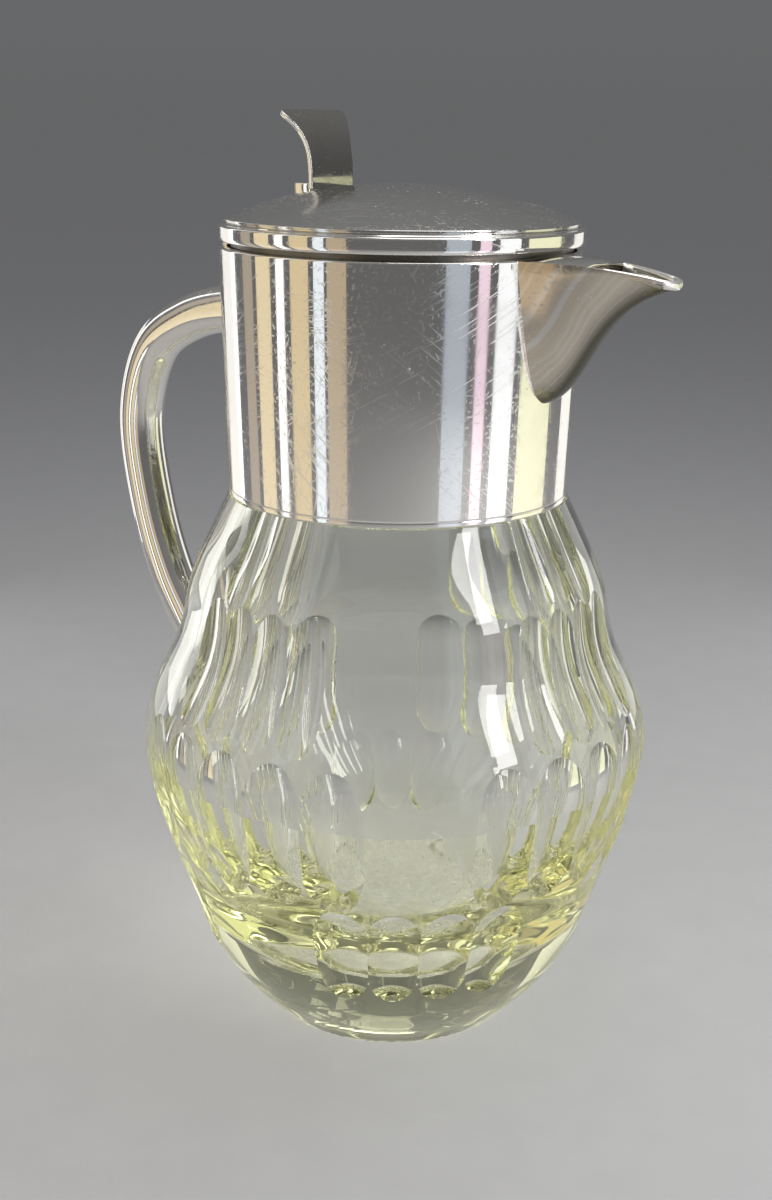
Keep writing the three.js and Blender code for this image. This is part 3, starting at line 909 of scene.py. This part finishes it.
def bridge():
    """The arched plate over the spout's root."""
    sections = []
    for i in range(9):
        x = COLLAR_TOP_RADIUS - 2.0 + (BRIDGE_REACH - COLLAR_TOP_RADIUS + 2.0) * i / 8
        half = spout_half_width_at(x) - 0.5
        upper = []
        lower = []
        for j in range(25):
            u = 2 * j / 24 - 1
            top = spout_top_at(x) - 0.05 + BRIDGE_ARCH * (1 - u * u)
            upper.insert(0, Vector((x, half * u, top)))
            lower.append(Vector((x, half * u, top - BRIDGE_THICKNESS)))
        sections.append([*lower, *upper])
    plate = lofted("spout_bridge_plate", sections)
    cut(plate, wall_tool("wall_tool", 0.02))
    bevel(plate, 0.15, 2, 50)
    shade(plate, 40)
    finish_piece(plate, "jug", bright_silver, "silver_plate", "spout_bridge")
    # The underside is painted dark: painted shade under the plate.
    plate.data.materials.append(painted_shade_silver)
    for face in plate.data.polygons:
        if face.normal.z < -0.5:
            face.material_index = 1


# ------------------------------------------------------------------ handle
HANDLE_POINTS = [
    Vector((-(COLLAR_TOP_RADIUS - 6), 0, HANDLE_TOP)),
    Vector((-(COLLAR_TOP_RADIUS + 12), 0, HANDLE_TOP)),
    Vector((-(HANDLE_REACH - 22), 0, HANDLE_TOP - 4.2)),
    Vector((-(HANDLE_REACH - 7.5), 0, HANDLE_TOP - 13.5)),
    Vector((-HANDLE_REACH, 0, HANDLE_TOP - 34)),
    Vector((-(HANDLE_REACH - 4), 0, HANDLE_TOP - 63)),
    Vector((-(HANDLE_REACH - 12), 0, HANDLE_TOP - 84)),
    Vector((-76.5, 0, 90.0)),
]


def handle():
    """A round tube along the handle's line, with a rounded plug in its end."""
    path = catmull_rom(HANDLE_POINTS, 150, 0.5)
    sections = []
    radius = HANDLE_RADIUS
    end = path[-1]
    along_end = (path[-1] - path[-2]).normalized()
    stations = [(p, 1.0) for p in path]
    for ahead, scale in ((0.3, 1.0), (1.3, 1.0), (1.9, 0.93), (2.3, 0.8), (2.6, 0.4)):
        stations.append((end + along_end * ahead, scale))
    for i, (centre, scale) in enumerate(stations):
        ahead = stations[min(i + 1, len(stations) - 1)][0]
        behind = stations[max(i - 1, 0)][0]
        along = (ahead - behind).normalized()
        side = Vector((0, 1, 0))
        up = along.cross(side)
        ring = []
        for k in range(64):
            angle = 2 * math.pi * k / 64
            offset = side * math.cos(angle) + up * math.sin(angle)
            ring.append(centre + offset * radius * scale)
        sections.append(ring)
    tube = lofted("handle_bar", sections)
    cut(tube, wall_tool("wall_tool", -0.1))
    shade(tube, 35)
    finish_piece(tube, "jug", bright_silver, "silver_plate", "handle_tube", "handle_end_cap")


# ------------------------------------------------------------------ hinge
HINGE_X = (pin_lo.x + pin_hi.x) / 2
HINGE_Z = (pin_lo.z + pin_hi.z) / 2
HINGE_LENGTH = pin_hi.y - pin_lo.y
BARREL_RADIUS = 2.4
MIDDLE_LENGTH = 10.0
OUTER_LENGTH = 6.5
LEAF_THICKNESS = 1.3
LEAF_TOP = COLLAR_TOP - 1.5
LEAF_BOTTOM = leaf_lo.z
WEB_THICKNESS = 2.2
WEB_OVERLAP = 3


def back_plate(name, inner, outer, width, bottom, top):
    """A curved plate on the back of a round wall."""
    half = math.asin(width / 2 / outer)
    sections = []
    for i in range(25):
        angle = math.pi + half * (2 * i / 24 - 1)
        c = math.cos(angle)
        s = math.sin(angle)
        sections.append(
            [
                Vector((inner * c, inner * s, bottom)),
                Vector((outer * c, outer * s, bottom)),
                Vector((outer * c, outer * s, top)),
                Vector((inner * c, inner * s, top)),
            ]
        )
    return lofted(name, sections)


def hinge():
    inner = COLLAR_TOP_RADIUS + 0.02
    outer = COLLAR_TOP_RADIUS + 0.3 + LEAF_THICKNESS
    leaf = back_plate("hinge_leaf", inner, outer, HINGE_LENGTH, LEAF_BOTTOM, LEAF_TOP)
    for side in (-1, 1):
        y = side * (MIDDLE_LENGTH + OUTER_LENGTH + 0.8) / 2
        block = box_shape(WEB_THICKNESS, OUTER_LENGTH, HINGE_Z - LEAF_TOP + WEB_OVERLAP)
        web = object_of("web", mesh_of("web", *block))
        middle = Vector((-(outer + 0.1), y, (HINGE_Z + LEAF_TOP - WEB_OVERLAP) / 2))
        web.data.transform(Matrix.Translation(middle * MM))
        join_to(leaf, web)
        join_to(leaf, disc_bar("barrel", BARREL_RADIUS, OUTER_LENGTH, (HINGE_X, y, HINGE_Z)))
    bevel(leaf, 0.2, 2, 50)
    shade(leaf, 40)
    finish_piece(leaf, "jug", bright_silver, "silver_plate", "hinge_collar_leaf")

    pin = disc_bar("hinge_rod", 0.9, HINGE_LENGTH, (HINGE_X, 0, HINGE_Z), 0.35, 32)
    shade(pin, 40)
    finish_piece(pin, "jug", bright_silver, "silver_plate", "hinge_pin")

    lid_inner = LID_BAND_RADIUS + 0.02
    lid_outer = LID_BAND_RADIUS + 0.3 + LEAF_THICKNESS
    low = lid_band_lo.z
    lid_leaf = back_plate("lid_hinge_leaf", lid_inner, lid_outer, MIDDLE_LENGTH, low, low + 3.9)
    join_to(lid_leaf, disc_bar("barrel", BARREL_RADIUS, MIDDLE_LENGTH, (HINGE_X, 0, HINGE_Z)))
    bevel(lid_leaf, 0.2, 2, 50)
    shade(lid_leaf, 40)
    finish_piece(lid_leaf, "lid", bright_silver, "lid_silver", "hinge_lid_leaf")


def box_shape(x, y, z):
    """Points and faces of a block centred on the origin."""
    points = [
        (sx * x / 2, sy * y / 2, sz * z / 2) for sx in (-1, 1) for sy in (-1, 1) for sz in (-1, 1)
    ]
    faces = [(0, 1, 3, 2), (4, 6, 7, 5), (0, 4, 5, 1), (2, 3, 7, 6), (0, 2, 6, 4), (1, 5, 7, 3)]
    return points, faces


# ------------------------------------------------------------------ lid
def dome_height_at(radius):
    rise = DOME_TOP - DOME_EDGE
    curvature = (DOME_RADIUS**2 + rise**2) / (2 * rise)
    return DOME_TOP - curvature + math.sqrt(curvature**2 - radius**2)


def lid():
    flange = flange_hi.y
    steps = 48
    inner_radius = flange - 1.2
    outer = [
        (DOME_RADIUS * (1 - i / steps), dome_height_at(DOME_RADIUS * (1 - i / steps)), 0)
        for i in range(steps + 1)
    ]
    inner = [
        (inner_radius * i / steps, dome_height_at(inner_radius * i / steps) - LID_SHEET, 0)
        for i in range(steps + 1)
    ]
    bottom = dome_lo.z
    profile = [
        *inner,
        (inner_radius, bottom, 0.1),
        (BEAD_RADIUS, bottom, 0.7),
        (BEAD_RADIUS, DOME_EDGE - 0.25, 0.6),
        (DOME_RADIUS + 0.5, DOME_EDGE - 0.25, 0.2),
        *outer,
    ]
    dome = turned("lid_dome_shell", filleted(profile, closed=False, steps=6), 256)
    shade(dome, 20)
    finish_piece(dome, "lid", lid_silver, "lid_silver", "lid_dome")

    low = lid_band_lo.z
    high = lid_band_hi.z
    band_profile = [
        (flange + 0.02, low, 0.1),
        (LID_BAND_RADIUS - 0.3, low, 0.4),
        (LID_BAND_RADIUS, low + 0.9, 0.6),
        (LID_BAND_RADIUS, high - 0.2, 0.8),
        (LID_BAND_RADIUS - 1.2, high, 0.3),
        (LID_BAND_RADIUS - 1.5, bottom + 0.02, 0.1),
        (flange + 0.02, bottom + 0.02, 0.1),
    ]
    band = turned("lid_band", filleted(band_profile, steps=6), 256)
    shade(band, 25)
    finish_piece(band, "lid", bright_silver, "lid_silver", "lid_rim_band")

    ring_profile = [
        (flange - 0.9, flange_lo.z, 0.3),
        (flange, flange_lo.z, 0.3),
        (flange, flange_hi.z, 0.1),
        (flange - 0.9, flange_hi.z, 0.1),
    ]
    ring = turned("lid_flange_ring", filleted(ring_profile), 192)
    shade(ring, 30)
    # The flange in the gap under the band is painted dark: painted shade.
    finish_piece(ring, "lid", painted_shade_silver, "lid_silver", "lid_inner_flange")


# ------------------------------------------------------------------ thumb-piece
def thumb_piece():
    """A curved plate that rises from the dome, leans back and flares at the top."""
    height = 19.0
    lean = 7.7
    bottom_half = 8.5
    top_half = 13.5
    low = THUMB_BOTTOM
    line = [
        Vector((THUMB_RADIUS - 0.6, low)),
        Vector((THUMB_RADIUS - 0.6, low + height * 0.47)),
        Vector((THUMB_RADIUS - 0.7 + lean * 0.2, low + height * 0.82)),
        Vector((THUMB_RADIUS - 0.6 + lean, low + height + 0.5)),
    ]
    rows = 40
    columns = 33
    front = []
    back = []
    for i in range(rows):
        t = i / (rows - 1)
        s = 1 - t
        at = line[0] * s**3 + line[1] * 3 * t * s * s + line[2] * 3 * t * t * s + line[3] * t**3
        tangent = (
            (line[1] - line[0]) * 3 * s * s
            + (line[2] - line[1]) * 6 * s * t
            + (line[3] - line[2]) * 3 * t * t
        ).normalized()
        normal = Vector((tangent.y, -tangent.x))
        flare = max(0.0, (t - 0.35) / 0.65) ** 1.7
        half = bottom_half + (top_half - bottom_half) * flare
        corner = max(0.0, (t - 0.86) / 0.14)
        half -= 3.2 * (1 - math.sqrt(max(0.0, 1 - corner**2)))
        for j in range(columns):
            y = half * (2 * j / (columns - 1) - 1)
            for side, store in ((-1, front), (1, back)):
                p = at + normal * side * THUMB_THICKNESS / 2
                store.append(Vector((-p.x, y, p.y)))
    plate = closed_sheet("thumb_plate", front, back, rows, columns)
    bevel(plate, 0.25, 3, 50)
    shade(plate, 35)
    finish_piece(plate, "lid", shaded_thumb_silver, "lid_silver", "thumb_piece")
    # The edges keep the brighter silver: a painted highlight beside the darkened faces.
    plate.data.materials.append(bright_silver)
    for face in plate.data.polygons:
        if abs(face.normal.y) > 0.5:
            face.material_index = 1

    length = foot_hi.x - foot_lo.x + 0.5
    thickness = foot_hi.z - foot_lo.z
    block = box_shape(length, foot_hi.y * 2, thickness)
    foot = object_of("thumb_foot", mesh_of("thumb_foot", *block))
    middle = Vector((foot_lo.x + length / 2, 0, (foot_lo.z + foot_hi.z) / 2))
    foot.data.transform(Matrix.Translation(middle * MM))
    bevel(foot, 0.25, 3, 50)
    shade(foot, 35)
    finish_piece(foot, "lid", bright_silver, "lid_silver", "thumb_piece_foot")


# ------------------------------------------------------------------ stage
def floor():
    """A plain pale floor, just clear of the pitcher's base."""
    n = Nodes("floor")
    grain = n.noise(60.0, 4.0)
    n.link(n.mix(grain, (0.52, 0.52, 0.53), (0.57, 0.57, 0.575)), n.shader.inputs["Base Color"])
    n.shader.inputs["Roughness"].default_value = 0.8
    n.link(n.bump(n.noise(400.0, 3.0), 0.15, 0.0005), n.shader.inputs["Normal"])
    half = 6.0
    mesh = bpy.data.meshes.new("floor")
    points = [(-half, -half, 0), (half, -half, 0), (half, half, 0), (-half, half, 0)]
    mesh.from_pydata(points, [], [(0, 1, 2, 3)])
    plane = object_of("floor", mesh)
    plane.location.z = -0.0002
    mesh.materials.append(n.material)


def softbox(name, place, target, width, height, radiance, colour):
    """A rectangular lamp that shows in reflections but not to the camera."""
    data = bpy.data.lights.new(name, "AREA")
    data.shape = "RECTANGLE"
    data.size = width
    data.size_y = height
    data.energy = radiance * math.pi * width * height
    data.color = colour
    lamp = bpy.data.objects.new(name, data)
    bpy.context.scene.collection.objects.link(lamp)
    lamp.location = place
    lamp.rotation_euler = (Vector(target) - Vector(place)).to_track_quat("-Z", "Y").to_euler()
    lamp.visible_camera = False


# Upright softboxes stand in a ring around the pitcher. Each has its direction from
# the camera's own, in degrees to the right, then its width, height, strength and
# colour.
CAMERA_SIDE = -52.0
STRIPS = [
    ("strip_1", -122.0, 0.037, 0.480, 1.30, (1.0, 1.0, 1.0)),
    ("strip_2", -104.0, 0.060, 0.480, 0.28, (1.0, 0.80, 0.56)),
    ("strip_3", -89.0, 0.075, 0.480, 0.68, (1.0, 0.82, 0.48)),
    ("strip_4", -75.0, 0.037, 0.480, 1.20, (1.0, 0.99, 0.96)),
    ("strip_5", -61.0, 0.075, 0.480, 0.58, (1.0, 0.78, 0.40)),
    ("strip_6", -48.0, 0.040, 0.480, 0.90, (0.84, 0.92, 1.0)),
    ("strip_7", -37.0, 0.070, 0.300, 0.36, (1.0, 0.74, 0.42)),
    ("strip_8", 32.0, 0.085, 0.480, 0.42, (0.72, 0.84, 1.0)),
    ("strip_9", 48.0, 0.042, 0.300, 0.80, (1.0, 0.76, 0.92)),
    ("strip_10", 64.0, 0.085, 0.300, 1.00, (0.92, 0.96, 1.0)),
    ("strip_11", 92.0, 0.180, 0.204, 0.80, (0.99, 1.0, 0.66)),
]
STRIP_DISTANCE = 0.34
STRIP_BOTTOM = 0.03
EDGE_DISTANCE = 0.45
KEY_DISTANCE = 0.62
# The horizon is as bright as the far floor, so that no line shows between them.
HORIZON = 0.134
ZENITH = 0.27


def around(turn, distance, height):
    """A place around the pitcher, a number of degrees to the right of the camera."""
    angle = math.radians(CAMERA_SIDE + turn)
    return (distance * math.cos(angle), distance * math.sin(angle), height)


def lights():
    for name, turn, width, height, radiance, colour in STRIPS:
        middle = STRIP_BOTTOM + height / 2
        place = around(turn, STRIP_DISTANCE, middle)
        softbox(name, place, (0, 0, middle), width, height, radiance, colour)
    for name, turn in (("edge_left", -136.0), ("edge_right", 134.0)):
        place = around(turn, EDGE_DISTANCE, 0.13)
        softbox(name, place, (0, 0, 0.10), 0.14, 0.24, 0.85, (1.0, 0.99, 0.95))
    # A tall window, which the glass shows as small bright patches.
    place = around(50.0, KEY_DISTANCE, 0.50)
    softbox("key", place, (0, 0, 0.12), 0.12, 0.52, 10.5, (1.0, 1.0, 1.0))
    softbox("overhead", (0.1, 0.1, 0.9), (0, 0, 0), 0.6, 0.5, 2.6, (1.0, 1.0, 1.0))
    world = bpy.data.worlds.new("studio")
    world.use_nodes = True
    tree = world.node_tree
    place = tree.nodes.new("ShaderNodeTexCoord")
    parts = tree.nodes.new("ShaderNodeSeparateXYZ")
    ramp = tree.nodes.new("ShaderNodeMapRange")
    ramp.inputs["From Min"].default_value = 0.0
    ramp.inputs["From Max"].default_value = 0.9
    ramp.inputs["To Min"].default_value = HORIZON
    ramp.inputs["To Max"].default_value = ZENITH
    tree.links.new(place.outputs["Generated"], parts.inputs["Vector"])
    tree.links.new(parts.outputs["Z"], ramp.inputs["Value"])
    background = tree.nodes["Background"]
    background.inputs["Color"].default_value = (0.97, 0.98, 1.0, 1.0)
    tree.links.new(ramp.outputs["Result"], background.inputs["Strength"])
    bpy.context.scene.world = world


def camera():
    """A level-headed view slightly to the left of the spout, from just above the
    lid and close to, so that the base is seen much more from above than the lid."""
    azimuth = math.radians(38.0)
    distance = 435.0
    height = 245.8
    pitch = 0.2904
    aim = -0.0067
    roll = 0.0134
    focal = 1650.0 / 1200.0 * 36.0
    spin = Matrix.Rotation(azimuth, 3, "Z")
    right = Vector((math.cos(aim), -math.sin(aim), 0))
    ahead = Vector((math.sin(aim), math.cos(aim), 0))
    up = ahead * math.sin(pitch) + Vector((0, 0, math.cos(pitch)))
    forward = ahead * math.cos(pitch) - Vector((0, 0, math.sin(pitch)))
    right, up = (
        right * math.cos(roll) + up * math.sin(roll),
        up * math.cos(roll) - right * math.sin(roll),
    )
    basis = Matrix((right, up, -forward)).transposed()
    data = bpy.data.cameras.new("camera")
    data.lens = focal
    data.sensor_width = 36.0
    data.clip_start = 0.01
    eye = bpy.data.objects.new("camera", data)
    bpy.context.scene.collection.objects.link(eye)
    place = spin @ Vector((0, -distance, height)) * MM
    eye.matrix_world = Matrix.Translation(place) @ (spin @ basis).to_4x4()
    bpy.context.scene.camera = eye


# ------------------------------------------------------------------ scene
camera()
glass_body()
collar()
spout()
bridge()
handle()
hinge()
lid()
thumb_piece()
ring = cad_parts["neck_cement_ring"]
ring.material_slots[0].material = plaster()
floor()
lights()
scene = bpy.context.scene
scene.view_settings.view_transform = "Standard"
scene.cycles.max_bounces = 24
scene.cycles.transmission_bounces = 24
scene.cycles.glossy_bounces = 16
